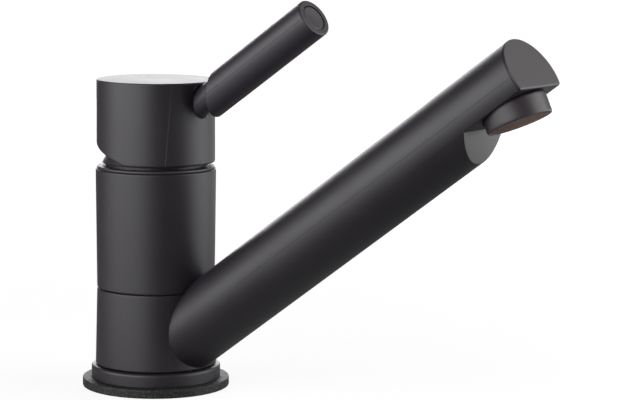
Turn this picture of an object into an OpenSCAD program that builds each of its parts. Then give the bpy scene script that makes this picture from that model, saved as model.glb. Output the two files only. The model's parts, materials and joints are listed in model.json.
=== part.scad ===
// Single-lever mixer tap with a swivelling angled spout and a rod lever.
// The origin is on the tap's upright axis, in the plane of the worktop under the gasket.
// +X is the side of the spout and lever, +Z is up. Sizes are in millimetres.

/* [Base] */
// Diameter of the foam gasket on the worktop
gasket_d = 57.6; // [54:0.2:64]
// Thickness of the foam gasket
gasket_h = 3.5; // [2:0.1:5]
// Diameter of the base ring
ring_d = 50.4; // [49:0.1:53]
// Height of the base ring
ring_h = 5.2; // [4.5:0.1:8]
// Radius of the base ring's rounded top edge
ring_round = 1.2; // [0.6:0.1:1.8]

/* [Body] */
// Diameter at the seam between the spout sleeve and the upper body
seam_d = 45.9; // [45:0.1:48]
// Diameter of the spout sleeve at its foot
sleeve_foot_d = 47.2; // [46:0.1:48.4]
// Height of the spout sleeve
sleeve_h = 29.8; // [29:0.1:34]
// Diameter of the upper body at its top
shell_top_d = 46.9; // [45.8:0.1:48]
// Height of the upper body
shell_h = 46.4; // [45.5:0.1:56]
// Open height of the seams between sleeve, ring and upper body
seam_gap = 0.4; // [0.3:0.05:0.8]
// Chamfer on the edges along the seams
seam_chamfer = 0.4; // [0.2:0.05:0.6]
// Height of the trim ring on top of the body
trim_h = 1.2; // [0.8:0.1:2]
// Diameter of the trim ring
trim_d = 45.8; // [45:0.1:46.6]

/* [Spout] */
// Angle of the spout above the horizontal
spout_angle = 35.7; // [34:0.1:39]
// Height above the sleeve's foot at which the spout's axis would cross the body's axis
spout_rise = 1.4; // [0.9:0.1:3.9]
// Length of the spout, measured along its axis from the body's axis
spout_len = 207.9; // [180:1:240]
// Diameter of the spout at its root
spout_d = 29.1; // [28:0.1:30]
// Diameter of the spout at its end
spout_end_d = 29.1; // [27.6:0.1:30]
// Wall of the spout tube
spout_wall = 2.1; // [1.6:0.1:2.4]
// Distance of the notch's roof below the spout's axis
notch_roof = 5.4; // [4.8:0.1:6.2]
// Length of the notch under the spout's end, along its roof
notch_len = 28.2; // [27.4:0.2:34]
// Lean of the notch's back wall from plumb, in degrees
notch_lean = 8; // [0:1:14]
// Thickness of the roof over the notch
roof_t = 4.9; // [4.4:0.1:5.4]
// Thickness of the notch's back wall
notch_wall = 2.2; // [1.6:0.1:3]
// Thickness of the end cap's plate
end_cap_t = 0.6; // [0.5:0.1:2]

/* [Aerator] */
// Diameter of the aerator housing
aerator_d = 24.2; // [23.4:0.1:24.6]
// Height of the aerator housing's barrel
aerator_h = 7.9; // [7.4:0.1:8.8]
// Forward tilt of the water jet from plumb, in degrees
jet_tilt = 25; // [22:0.5:28]
// Distance from the spout's end to the jet axis, along the notch's roof
jet_inset = 13.2; // [13:0.1:15]
// Length of the jet axis below the notch's roof
jet_drop = 6.2; // [5.9:0.1:7]
// Diameter of the aerator's thread
aerator_thread_d = 18; // [17:0.5:18.5]
// Bore of the aerator at its outlet
aerator_bore_d = 21.8; // [20:0.1:22]
// Pitch of the holes in the gauze
gauze_pitch = 1.5; // [1.4:0.1:2.4]
// Width of each hole in the gauze
gauze_hole = 1; // [0.6:0.1:1.1]

/* [Lever] */
// Angle of the lever above the horizontal when closed
lever_angle = 34.4; // [30:0.2:38]
// Height above the lever cap's foot at which the lever's axis would cross the body's axis
lever_rise = 7.6; // [6:0.1:9]
// Length of the lever, measured along its axis from the body's axis
lever_len = 91; // [75:1:120]
// Diameter of the lever rod
lever_d = 15.1; // [13.4:0.1:16]
// Diameter of the neck between the cap and the rod
lever_neck_d = 10.2; // [9.6:0.1:11]
// Height of the neck's axis above the rod's axis, square to it
neck_lift = 1.1; // [0:0.1:1.4]
// Distance of the rod's plumb lower face from the body's axis
lever_face_x = 30; // [27:0.5:34]
// Diameter of the end plug
end_plug_d = 10.2; // [8.6:0.1:10.8]
// Depth by which the end plug sits below the rod's end
end_plug_inset = 0.4; // [0.2:0.1:0.8]

/* [Lever cap] */
// Diameter of the lever cap
cap_d = 46.1; // [44.8:0.1:46.8]
// Height of the lever cap
cap_h = 32.1; // [31:0.1:36]
// Gap between the trim ring and the lever cap
cap_gap = 1.4; // [1:0.1:3]
// Thickness of the lever cap's top
cap_top = 3; // [2:0.1:4]
// Angle of the relief cut on the cap's back edge
relief_angle = 18.6; // [16:0.1:21]
// Distance from the body's axis at which the relief starts
relief_x = 3; // [0:0.5:6]

/* [Cartridge] */
// Diameter of the cartridge
cartridge_d = 35; // [34.6:0.1:35.2]
// Height of the cartridge housing above the ceramic discs' base
housing_h = 31; // [30.6:0.1:32]
// Distance of the lever's pivot below the top of the cartridge
pivot_drop = 10; // [9.4:0.1:11]
// Width of the square stem
stem_w = 8; // [7:0.1:8.4]
// Diameter of the pivot pin
pivot_pin_d = 4; // [3:0.1:4.6]
// Distance from the pivot to the middle of the stem's tip
stem_arm = 10; // [9.6:0.1:10.2]
// Diameter of the ceramic discs' water ports
port_d = 6; // [4:0.2:6.4]

/* [Fixing] */
// Diameter of the threaded shank below the worktop
shank_d = 32; // [31:0.1:33]
// Length of the shank below the worktop
shank_len = 45; // [40:1:70]
// Thickness of the worktop that the tap is shown clamped to
deck_t = 12; // [6:0.5:16]
// Length of the smooth collar above the shank's thread
collar_len = 8; // [2:0.5:10]
// Length of the plain lead below the shank's thread
lead_len = 3; // [2:0.5:6]
// Diameter of the washers and the back nut
nut_d = 50; // [46:0.5:56]
// Height of the back nut
nut_h = 9; // [6:0.5:12]
// Pitch of the shank's thread
thread_pitch = 1.5; // [1.5:0.5:2.5]
// Diameter of the threaded inlets
inlet_d = 9; // [8:0.1:9.6]
// Depth of the threaded inlets
inlet_depth = 12; // [8:1:16]

/* [Hidden] */

$fn = 96;
// Clearance of a running fit, radial
run = 0.05;
// Gap between fixed neighbours
slip = 0.1;
// Gap beside pieces that slide or drop in by hand
ease = 0.2;
// Clearance between loose neighbours
loose = 0.3;
// Overshoot of cuts past a face
eps = 0.5;

// Heights of the outer stack
ring_z = gasket_h;
ring_top = ring_z + ring_h;
sleeve_z = ring_top + seam_gap;
sleeve_top = sleeve_z + sleeve_h;
shell_z = sleeve_top + seam_gap;
shell_top = shell_z + shell_h;
trim_top = shell_top + trim_h;
cap_z = trim_top + cap_gap;
cap_top_z = cap_z + cap_h;
spout_axis_z = sleeve_z + spout_rise;
lever_axis_z = cap_z + lever_rise;

// Radii of the outer stack
ring_r = ring_d / 2;
seam_r = seam_d / 2;
sleeve_foot_r = sleeve_foot_d / 2;
shell_top_r = shell_top_d / 2;
trim_r = trim_d / 2;
cap_r = cap_d / 2;
shank_r = shank_d / 2;

// Core body: shank, column through the sleeve, pot for the cartridge
column_r = cartridge_d / 2;
bore_r = column_r + run;
pot_t = 2.9;
pot_r = column_r + pot_t;
pot_top = shell_top - slip;
shell_bore_r = pot_r + ease;
nut_thread_t = 1.3;
thread_r = column_r + nut_thread_t;
glide_h = 1.4;
glide_w = 2.7;
glide_r = column_r + glide_w;
glide_groove = glide_h - seam_gap;

// Spout O-rings and the water gallery between them
o_ring_cs = 1.1;
o_ring_mid_r = bore_r - run - o_ring_cs;
o_ring_groove_h = 2.8;
o_ring_inset = 5;
o_ring_top_inset = 3.8;
o_ring_zs = [sleeve_z + o_ring_inset, sleeve_top - o_ring_top_inset];
gallery_depth = 4;
gallery_r = column_r - gallery_depth;
gallery_rise = 11;
gallery_h = 10;
gallery_z0 = sleeve_z + gallery_rise;
gallery_z1 = gallery_z0 + gallery_h;
gallery_mid = (gallery_z0 + gallery_z1) / 2;

// Cartridge heights, downward from the top of its housing
cartridge_stand = 2.4;
cartridge_top = shell_top + cartridge_stand;
housing_z = cartridge_top - housing_h;
base_h = 6;
chamber_z = housing_z - base_h;
disc_z = housing_z;
disc_h = 3;
moving_z = disc_z + disc_h;
moving_h = 3.5;
driver_z = moving_z + moving_h;
driver_h = 4.5;
rotor_z = driver_z + driver_h + loose;
pivot_z = cartridge_top - pivot_drop;
housing_r = column_r - slip;
housing_wall = 1.1;
housing_bore_r = housing_r - housing_wall;
housing_neck_r = 12.6;
housing_neck_wall = 2.2;
housing_neck_bore_r = housing_neck_r - housing_neck_wall;
shoulder_rise = 2.5;
shoulder_z = pivot_z + shoulder_rise;
ceiling_drop = 2;
ceiling_z = pivot_z - ceiling_drop;
nut_ring_z = shoulder_z;
nut_ring_h = 2.6;
key_slot_w = 3;
key_slot_h = 1.2;
port_r = port_d / 2;
inlet_port_x = -4;
inlet_port_y = 7.2;
outlet_port_x = 8;
port_step = 0.5;
channel_r = port_r + port_step;
disc_port_r = port_r - port_step;
disc_margin = 1.2;
fixed_disc_r = housing_bore_r - disc_margin;
disc_travel_room = 3.8;
moving_disc_r = housing_bore_r - disc_travel_room;
driver_r = moving_disc_r - ease;
tip_r = 2.4;
tip_z = pivot_z - stem_arm;
rotor_flange_r = housing_bore_r - ease;
rotor_hub_r = housing_neck_bore_r - ease;
rotor_flange_top = ceiling_z - loose;
pivot_pin_r = pivot_pin_d / 2;
pivot_pin_len = 2 * (rotor_hub_r - eps);
slot_back = 9.2;
slot_front = 6.6;
slot_w = stem_w + 2 * ease;
key_y = 10.4;
key_w = 2;
key_h = 1.4;
key_len = 8;
keyway_len = 17;
port_seal_h = 1.2;
port_seal_w = 1.6;
port_seal_r = port_r + port_seal_w;

// Dome cover: a ball zone about the pivot, so that the tipping cap slides over it
dome_stand = 1.1;
dome_z = trim_top + dome_stand;
dome_edge_r = 20.95;
dome_r = sqrt(pow(dome_edge_r, 2) + pow(dome_z - pivot_z, 2));
dome_wall = 2;
dome_floor_t = 1;
dome_mouth_r = 14;
dome_neck_r = 19.4;
dome_skirt_h = 2.2;
dome_skirt_t = 2.2;

// Lever cap
dome_clear = 0.45;
cap_bore_r = sqrt(pow(dome_r + dome_clear, 2) - pow(cap_z - pivot_z, 2));
cap_round = 0.5;
boss_r = 8;
boss_gap = 1;
boss_z = pivot_z + dome_r + boss_gap;
lug_drop = 6;
lug_z = boss_z - lug_drop;
ceiling_cap_z = cap_top_z - cap_top;
stem_gap = 1;
stem_top = ceiling_cap_z - stem_gap;
rib_w = 9;
screw_r = 2.5;
cap_screw_rise = 4.5;
cap_screw_z = boss_z + cap_screw_rise;
screw_plug_r = 3;
screw_plug_t = 1.5;
lug_w = 15;

// Lever
lever_r = lever_d / 2;
neck_r = lever_neck_d / 2;
neck_in_x = 13;
lever_round = 0.6;
end_plug_r = end_plug_d / 2;
end_plug_t = 3;
end_plug_gap = 0.15;
end_plug_round = 0.4;
end_plug_z = lever_len - end_plug_t - end_plug_inset;
neck_start = neck_in_x / cos(lever_angle);
face_t = lever_face_x / cos(lever_angle);
face_run = lever_r * tan(lever_angle);
face_margin = 1;
set_screw_x = 17.5;
set_screw_z = lever_axis_z + set_screw_x * tan(lever_angle);
set_screw_len = 6;
set_screw_top = set_screw_z + neck_lift / cos(lever_angle) - neck_r * 0.8;
cap_screw_len = 8;

// Spout
spout_r = spout_d / 2;
spout_end_r = spout_end_d / 2;
cavity_r = spout_end_r - spout_wall;
cavity_t = 50;
tube_end = spout_len - end_cap_t - slip;
end_bevel = end_cap_t * 0.9;
notch_t = spout_len - notch_len;
notch_slope = tan(spout_angle + notch_lean);
roof_x = notch_roof - roof_t;
block_x = roof_x - slip;
pipe_r = 4;
pipe_bore_r = 3;
pipe_o_r = 0.75;
pipe_o_mid = pipe_r + run + pipe_o_r;
pipe_o_seat_r = pipe_o_mid + pipe_o_r + run;
pipe_o_seat_h = 2;
pipe_cover = 0.8;
pipe_x = block_x - pipe_o_seat_r - pipe_cover;
pipe_start = 38;
waterway_r = 4;
waterway_x = -2.5;
block_reach = 4;
block_t = notch_t - block_reach;
pipe_socket = 6;
pipe_end = block_t + pipe_socket;
block_gap = 1.1;
block_end = tube_end - block_gap;
shell_clear_r = shell_top_r + loose;

// Aerator, from the outlet plane upwards along the jet axis
jet_t = spout_len - jet_inset;
jet_x = jet_t * cos(spout_angle) + notch_roof * sin(spout_angle) + jet_drop * sin(jet_tilt);
roof_jet_z = spout_axis_z + jet_t * sin(spout_angle) - notch_roof * cos(spout_angle);
jet_z = roof_jet_z - jet_drop * cos(jet_tilt);
aerator_r = aerator_d / 2;
aerator_bore_r = aerator_bore_d / 2;
aerator_thread_r = aerator_thread_d / 2;
aerator_stub_h = 5;
aerator_round = 0.8;
aerator_rim = 0.8;
aerator_bevel = 0.2;
aerator_pocket_r = aerator_r + 0.4;
gauze_rise = 0.3;
gauze_t = 0.4;
gauze_r = aerator_bore_r - run;
straightener_h = 4.2;
aerator_floor = gauze_rise + gauze_t + straightener_h;
washer_t = 1.4;
aerator_wall = 2;
block_bore_rise = 3;
block_bore_end = aerator_h + aerator_stub_h + washer_t + block_bore_rise;
pocket_gap = 0.15;

// Shank and fixing set
washer_r = nut_d / 2;
rubber_t = 3;
steel_t = 1.5;
nut_flange = 2;
nut_flange_inset = 1;
nut_hex_inset = 2;
rubber_top = -deck_t;
steel_top = rubber_top - rubber_t;
nut_top = steel_top - steel_t;
thread_top = -collar_len;
thread_depth = 0.8;
thread_root_r = shank_r - thread_depth;
thread_bottom = -shank_len + lead_len;
gasket_ease = 1;
gasket_bore_r = shank_r + gasket_ease;
ring_rib = 3;

black = [0.09, 0.09, 0.1];
rubber_black = [0.05, 0.05, 0.05];

// A ring with a rounded outer top edge
module soft_ring(r_in, r_out, z0, z1, round_r) {
    translate([0, 0, z0]) rotate_extrude() {
        translate([r_in, 0]) square([r_out - r_in - round_r, z1 - z0]);
        translate([r_in, 0]) square([r_out - r_in, z1 - z0 - round_r]);
        translate([r_out - round_r, z1 - z0 - round_r]) circle(r = round_r, $fn = 48);
    }
}

// A plain ring between two heights
module ring(r_in, r_out, z0, z1) {
    translate([0, 0, z0]) difference() {
        cylinder(r = r_out, h = z1 - z0);
        translate([0, 0, -eps]) cylinder(r = r_in, h = z1 - z0 + 2 * eps);
    }
}

// An O-ring about the z axis of its frame
module o_ring(mid_r, section_r) {
    rotate_extrude() translate([mid_r, 0]) circle(r = section_r, $fn = 32);
}

// A cylinder between two heights of its frame
module post(r, z0, z1) {
    translate([0, 0, z0]) cylinder(r = r, h = z1 - z0);
}

// Frame of the spout: z runs along its axis, x points to its underside
module spout_frame() {
    translate([0, 0, spout_axis_z]) rotate([0, 90 - spout_angle, 0]) children();
}

// Frame of the water jet: the origin is the outlet's middle, z runs up along the jet axis
module jet_frame() {
    translate([jet_x, 0, jet_z]) rotate([0, -jet_tilt, 0]) children();
}

// Frame of the lever: z runs along its axis
module lever_frame() {
    translate([0, 0, lever_axis_z]) rotate([0, 90 - lever_angle, 0]) children();
}

// Frame of the lever's neck, which lies a little above the rod's axis
module neck_frame() {
    lever_frame() translate([-neck_lift, 0, 0]) children();
}

// A prism across the spout, drawn by points in its frame's x and z
module across(points, w) {
    rotate([90, 0, 0]) linear_extrude(height = w, center = true) polygon(points);
}

module deck_gasket() {
    color("dimgray") ring(gasket_bore_r, gasket_d / 2, 0, gasket_h);
}

module base_ring() {
    color(black) difference() {
        soft_ring(shank_r + slip, ring_r, ring_z, ring_top, ring_round);
        // Hollow underside round the shank
        ring(shank_r + ring_rib, ring_r - ring_rib, ring_z - eps, ring_z + ring_h / 3);
    }
}

// Ridges along the shank in place of a helical thread
module shank_thread(z0, z1) {
    count = floor((z1 - z0) / thread_pitch);
    rotate_extrude() polygon(concat(
        [[0, z0], [thread_root_r, z0]],
        [for (i = [0 : count - 1]) each [
            [shank_r, z0 + (i + 0.4) * thread_pitch],
            [shank_r, z0 + (i + 0.6) * thread_pitch],
            [thread_root_r, z0 + (i + 1) * thread_pitch]
        ]],
        [[thread_root_r, z1], [0, z1]]
    ));
}

module core_body() {
    color([0.78, 0.6, 0.3]) difference() {
        union() {
            post(thread_root_r, -shank_len, thread_bottom);
            shank_thread(thread_bottom, thread_top);
            post(shank_r, thread_top, ring_top);
            post(column_r, ring_top, shell_z);
            post(pot_r, shell_z, pot_top);
        }
        // Chamber for the cartridge, with the thread for its nut above
        post(column_r + slip, chamber_z, shell_top);
        post(thread_r, shoulder_z, shell_top);
        for (z = o_ring_zs) {
            translate([0, 0, z - o_ring_groove_h / 2])
                ring(o_ring_mid_r - o_ring_cs - run, column_r + eps, 0, o_ring_groove_h);
        }
        // Gallery that passes the mixed water to the spout at any swivel
        ring(gallery_r, column_r + eps, gallery_z0, gallery_z1);
        for (side = [-1, 1]) {
            translate([inlet_port_x, side * inlet_port_y, 0]) {
                post(channel_r, -shank_len - eps, chamber_z + eps);
                post(inlet_d / 2, -shank_len - eps, -shank_len + inlet_depth);
            }
        }
        translate([outlet_port_x, 0, 0]) post(channel_r, gallery_mid, chamber_z + eps);
        translate([outlet_port_x - channel_r, 0, gallery_mid])
            rotate([0, 90, 0]) cylinder(r = channel_r + slip, h = column_r);
    }
}

module body_shell() {
    color(black) translate([0, 0, shell_z]) rotate_extrude() polygon([
        [shell_bore_r, 0],
        [seam_r - seam_chamfer, 0],
        [seam_r, seam_chamfer],
        [shell_top_r, shell_h - seam_chamfer],
        [shell_top_r - seam_chamfer, shell_h],
        [shell_bore_r, shell_h]
    ]);
}

module trim_ring() {
    color(black) translate([0, 0, shell_top]) rotate_extrude() {
        translate([dome_neck_r + ease, 0]) square([trim_r - trim_h / 2 - dome_neck_r - ease, trim_h]);
        translate([trim_r - trim_h / 2, trim_h / 2]) circle(r = trim_h / 2, $fn = 48);
    }
}

module dome_cover() {
    color(black) difference() {
        union() {
            post(thread_r - run, pot_top - dome_skirt_h, pot_top);
            post(dome_neck_r, pot_top, dome_z);
            intersection() {
                translate([0, 0, pivot_z]) sphere(r = dome_r);
                post(dome_r, dome_z, pivot_z + dome_r);
            }
        }
        intersection() {
            translate([0, 0, pivot_z]) sphere(r = dome_r - dome_wall);
            post(dome_r, dome_z + dome_floor_t, pivot_z + dome_r);
        }
        post(thread_r - dome_skirt_t, pot_top - dome_skirt_h - eps, dome_z + dome_wall);
        post(dome_mouth_r, dome_z, pivot_z + dome_r + eps);
    }
}

module cartridge_nut() {
    color("goldenrod") difference() {
        ring(housing_neck_r + loose, thread_r - run, nut_ring_z, nut_ring_z + nut_ring_h);
        // Four slots for the key
        for (turn = [0, 90]) {
            rotate([0, 0, turn])
                translate([-thread_r, -key_slot_w / 2, nut_ring_z + nut_ring_h - key_slot_h])
                cube([2 * thread_r, key_slot_w, key_slot_h + eps]);
        }
    }
}

module cartridge_housing() {
    color("whitesmoke") difference() {
        union() {
            post(housing_r, housing_z, shoulder_z);
            post(housing_neck_r, shoulder_z, cartridge_top);
        }
        post(housing_bore_r, housing_z - eps, ceiling_z);
        post(housing_neck_bore_r, ceiling_z - eps, cartridge_top + eps);
    }
}

// The two inlets and the outlet, at one height range
module ports(r, z0, z1) {
    for (side = [-1, 1]) {
        translate([inlet_port_x, side * inlet_port_y, 0]) post(r, z0, z1);
    }
    translate([outlet_port_x, 0, 0]) post(r, z0, z1);
}

module cartridge_base() {
    color("whitesmoke") difference() {
        post(housing_r, chamber_z, housing_z);
        ports(port_r, chamber_z - eps, housing_z + eps);
        ports(port_seal_r + run, chamber_z - eps, chamber_z + port_seal_h);
    }
}

module port_seals() {
    color("firebrick") difference() {
        ports(port_seal_r, chamber_z, chamber_z + port_seal_h);
        ports(port_r, chamber_z - eps, chamber_z + port_seal_h + eps);
    }
}

module fixed_disc() {
    color("ivory") difference() {
        post(fixed_disc_r, disc_z, disc_z + disc_h);
        ports(disc_port_r, disc_z - eps, disc_z + disc_h + eps);
    }
}

module spout_o_rings() {
    color(rubber_black) for (z = o_ring_zs) translate([0, 0, z]) o_ring(o_ring_mid_r, o_ring_cs);
}

module glide_rings() {
    color("gainsboro") for (z = [ring_top, sleeve_top + seam_gap - glide_h]) {
        ring(column_r + slip, glide_r, z, z + glide_h);
    }
}

module rubber_washer() {
    color(rubber_black) ring(shank_r + loose, washer_r, steel_top, rubber_top);
}

module steel_washer() {
    color("silver") ring(shank_r + loose, washer_r, nut_top, steel_top);
}

module back_nut() {
    color("goldenrod") difference() {
        union() {
            post(washer_r - nut_flange_inset, nut_top - nut_flange, nut_top);
            translate([0, 0, nut_top - nut_h])
                cylinder(r = washer_r - nut_hex_inset, h = nut_h, $fn = 6);
        }
        post(shank_r + run, nut_top - nut_h - eps, nut_top + eps);
    }
}

// The notch below the spout's end, grown by some thickness on its roof and its back wall
module notch(roof_grow, wall_grow) {
    reach = spout_r * 2;
    x0 = notch_roof - roof_grow;
    t0 = notch_t - wall_grow / cos(spout_angle + notch_lean) + roof_grow * notch_slope;
    t1 = notch_t - wall_grow / cos(spout_angle + notch_lean) - (reach - notch_roof) * notch_slope;
    across([[x0, t0], [x0, spout_len + reach], [reach, spout_len + reach], [reach, t1]], 2 * reach);
}

module spout() {
    color(black) difference() {
        union() {
            translate([0, 0, sleeve_z]) rotate_extrude() polygon([
                [0, 0],
                [sleeve_foot_r - seam_chamfer, 0],
                [sleeve_foot_r, seam_chamfer],
                [seam_r, sleeve_h - seam_chamfer],
                [seam_r - seam_chamfer, sleeve_h],
                [0, sleeve_h]
            ]);
            difference() {
                spout_frame() cylinder(r1 = spout_r, r2 = spout_end_r, h = tube_end);
                // The tube stays above the sleeve's foot and clear of the upper body
                translate([0, 0, sleeve_z - spout_d]) cylinder(r = spout_len, h = spout_d);
                post(shell_clear_r, sleeve_top, shell_top);
            }
        }
        post(bore_r, sleeve_z - eps, sleeve_top + eps);
        post(glide_r + run, sleeve_z - eps, sleeve_z + glide_groove + run);
        post(glide_r + run, sleeve_top - glide_groove - run, sleeve_top + eps);
        spout_frame() {
            notch(0, 0);
            // Hollow of the tube, closed by the notch's roof and back wall
            difference() {
                post(cavity_r, cavity_t, spout_len);
                notch(roof_t, notch_wall);
            }
            // Waterway from the gallery to the seat of the water pipe
            translate([waterway_x, 0, 0]) post(waterway_r, gallery_r, pipe_start);
            translate([pipe_x, 0, 0]) {
                post(pipe_r + run, pipe_start - eps, cavity_t + eps);
                post(pipe_o_seat_r, cavity_t - pipe_o_seat_h, cavity_t + eps);
            }
        }
        jet_frame() {
            post(aerator_pocket_r, 0, aerator_h + pocket_gap);
            post(aerator_thread_r + run, aerator_h, aerator_h + aerator_stub_h + eps);
        }
    }
}

// The half of the tube's hollow above the notch's roof, from a place along the spout
module above_roof(t) {
    width = 2 * cavity_r;
    translate([block_x - width, -cavity_r, t]) cube([width, width, spout_len]);
}

module spout_end_cap() {
    plate_t = spout_len - end_cap_t;
    color(black) spout_frame() difference() {
        union() {
            post(spout_end_r, plate_t, spout_len);
            intersection() {
                post(cavity_r - slip, block_end, plate_t);
                above_roof(block_end);
            }
        }
        notch(0, 0);
        // Bevel along the plate's lower edge
        across([
            [notch_roof - end_bevel, spout_len + run],
            [notch_roof + run, spout_len + run],
            [notch_roof + run, spout_len - end_bevel]
        ], spout_d);
    }
}

module outlet_block() {
    color("darkgray") difference() {
        spout_frame() difference() {
            intersection() {
                post(cavity_r - slip, block_t, block_end);
                above_roof(block_t);
            }
            translate([pipe_x, 0, 0]) {
                post(pipe_r + run, block_t - eps, pipe_end);
                post(pipe_o_seat_r, block_t - eps, block_t + pipe_o_seat_h);
                post(pipe_bore_r, block_t, jet_t);
            }
        }
        jet_frame() {
            post(aerator_pocket_r, 0, aerator_h + pocket_gap);
            post(aerator_thread_r + run, 0, aerator_h + aerator_stub_h + washer_t);
            post(aerator_thread_r - aerator_wall, aerator_h, block_bore_end);
        }
    }
}

module water_pipe() {
    color("lightgray") spout_frame() translate([pipe_x, 0, 0]) difference() {
        post(pipe_r, pipe_start, pipe_end);
        post(pipe_bore_r, pipe_start - eps, pipe_end + eps);
    }
}

module pipe_o_rings() {
    color(rubber_black) spout_frame() {
        for (t = [cavity_t - pipe_o_seat_h / 2, block_t + pipe_o_seat_h / 2]) {
            translate([pipe_x, 0, t]) o_ring(pipe_o_mid, pipe_o_r);
        }
    }
}

module aerator_housing() {
    side_r = aerator_r - aerator_round;
    rim_r = aerator_r - aerator_rim;
    color(black) jet_frame() difference() {
        union() {
            rotate_extrude() {
                square([side_r, aerator_h]);
                square([rim_r, aerator_h - aerator_round]);
                translate([0, aerator_rim]) square([aerator_r, aerator_h - aerator_rim - aerator_round]);
                translate([side_r, aerator_h - aerator_round]) circle(r = aerator_round, $fn = 48);
                translate([rim_r, aerator_rim]) circle(r = aerator_rim, $fn = 48);
            }
            post(aerator_thread_r, aerator_h - eps, aerator_h + aerator_stub_h);
        }
        post(aerator_bore_r, -eps, aerator_floor);
        post(aerator_thread_r - aerator_wall, aerator_floor - eps, aerator_h + aerator_stub_h + eps);
        translate([0, 0, -run])
            cylinder(r1 = aerator_bore_r + aerator_bevel, r2 = aerator_bore_r, h = aerator_bevel + run);
    }
}

module flow_straightener() {
    hole_r = 1.1;
    ring_step = 3.1;
    color("white") jet_frame() difference() {
        post(gauze_r, gauze_rise + gauze_t, aerator_floor);
        for (row = [1 : 2]) {
            for (i = [0 : 6 * row - 1]) {
                rotate([0, 0, i * 60 / row])
                    translate([row * ring_step, 0, 0]) post(hole_r, 0, aerator_h);
            }
        }
        post(hole_r, 0, aerator_h);
    }
}

module aerator_gauze() {
    count = floor(gauze_r / gauze_pitch);
    color([0.5, 0.38, 0.3]) jet_frame() translate([0, 0, gauze_rise]) linear_extrude(height = gauze_t)
        difference() {
            circle(r = gauze_r);
            for (i = [-count : count]) {
                for (j = [-count : count]) {
                    if (norm([i, j]) * gauze_pitch < gauze_r - gauze_hole)
                        translate([i, j] * gauze_pitch) square(gauze_hole, center = true);
                }
            }
        }
}

module aerator_washer() {
    top = aerator_h + aerator_stub_h;
    color(rubber_black) jet_frame()
        ring(aerator_thread_r - aerator_wall - slip, aerator_thread_r - slip, top, top + washer_t);
}

module moving_disc() {
    pocket_r = 5.5;
    pocket_x = 1.5;
    color("ivory") difference() {
        post(moving_disc_r, moving_z, moving_z + moving_h);
        // Blind pocket that joins the ports below it
        translate([pocket_x, 0, 0]) post(pocket_r, moving_z - eps, moving_z + moving_h / 2);
    }
}

module disc_driver() {
    color("whitesmoke") difference() {
        union() {
            post(driver_r, driver_z, driver_z + driver_h);
            // Keys that slide in the rotor
            for (side = [-1, 1]) {
                translate([-key_len / 2, side * key_y - key_w / 2, driver_z + driver_h - eps])
                    cube([key_len, key_w, key_h + eps]);
            }
        }
        post(tip_r + loose, tip_z - tip_r - eps, driver_z + driver_h + eps);
    }
}

module cartridge_rotor() {
    color("slategray") difference() {
        union() {
            post(rotor_flange_r, rotor_z, rotor_flange_top);
            post(rotor_hub_r, rotor_z, cartridge_top - eps);
        }
        translate([-slot_back, -slot_w / 2, rotor_z - eps])
            cube([slot_back + slot_front, slot_w, housing_h]);
        // Keyways for the disc driver
        for (side = [-1, 1]) {
            translate([-keyway_len / 2, side * key_y - key_w / 2 - ease, rotor_z - eps])
                cube([keyway_len, key_w + 2 * ease, key_h + ease + eps]);
        }
        pivot_bar(pivot_pin_r, pivot_pin_len);
    }
}

// A cylinder along the lever's pivot
module pivot_bar(r, len) {
    translate([0, 0, pivot_z]) rotate([90, 0, 0]) cylinder(r = r, h = len, center = true);
}

module pivot_pin() {
    color("silver") pivot_bar(pivot_pin_r, pivot_pin_len);
}

module cartridge_stem() {
    half = stem_w / 2;
    color("silver") difference() {
        union() {
            translate([-half, -half, pivot_z]) cube([stem_w, stem_w, stem_top - pivot_z]);
            pivot_bar(half, stem_w);
            post(tip_r - loose, tip_z, pivot_z);
            translate([0, 0, tip_z]) sphere(r = tip_r);
        }
        pivot_bar(pivot_pin_r + run, stem_w + 2 * eps);
    }
}

// Cut below the cap that rises towards its back
module cap_relief() {
    reach = cap_d * 2;
    translate([relief_x, 0, cap_z]) rotate([0, relief_angle, 0])
        translate([-reach, -reach / 2, -reach]) cube([reach, reach, reach]);
}

// Boss for the stem, rib for its set screw and lug for the lever's neck, above the dome
module cap_core() {
    top = ceiling_cap_z + eps;
    difference() {
        intersection() {
            union() {
                post(boss_r, boss_z, top);
                translate([-cap_r, -rib_w / 2, boss_z]) cube([cap_r, rib_w, top - boss_z]);
                translate([0, -lug_w / 2, lug_z]) cube([cap_r, lug_w, top - lug_z]);
            }
            post(cap_bore_r + eps, lug_z - eps, top);
        }
        translate([0, 0, pivot_z]) sphere(r = dome_r + dome_clear);
    }
}

module lever_cap() {
    socket_w = stem_w + 2 * slip;
    color(black) difference() {
        union() {
            difference() {
                soft_ring(0, cap_r, cap_z, cap_top_z, cap_round);
                post(cap_bore_r, cap_z - eps, ceiling_cap_z);
            }
            cap_core();
        }
        cap_relief();
        translate([-socket_w / 2, -socket_w / 2, lug_z])
            cube([socket_w, socket_w, stem_top + slip - lug_z]);
        neck_frame() post(neck_r + run, neck_start, lever_len);
        translate([set_screw_x, 0, 0]) post(screw_r, lug_z - eps, set_screw_z);
        translate([0, 0, cap_screw_z]) rotate([0, -90, 0]) {
            post(screw_r, 0, cap_r + eps);
            post(screw_plug_r, cap_r - screw_plug_t - loose, cap_r + eps);
        }
    }
}

module lever_rod() {
    color(black) difference() {
        union() {
            neck_frame() post(neck_r, neck_start + slip, face_t + face_run + face_margin);
            difference() {
                lever_frame()
                    soft_ring(0, lever_r, face_t - face_run - face_margin, lever_len, lever_round);
                translate([lever_face_x - cap_d, -cap_d / 2, 0])
                    cube([cap_d, cap_d, 2 * cap_top_z]);
            }
        }
        lever_frame() post(end_plug_r + end_plug_gap, end_plug_z, lever_len + eps);
        // Dimple for the set screw under the neck
        translate([set_screw_x, 0, 0]) post(screw_r + loose, lug_z, set_screw_top);
    }
}

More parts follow.
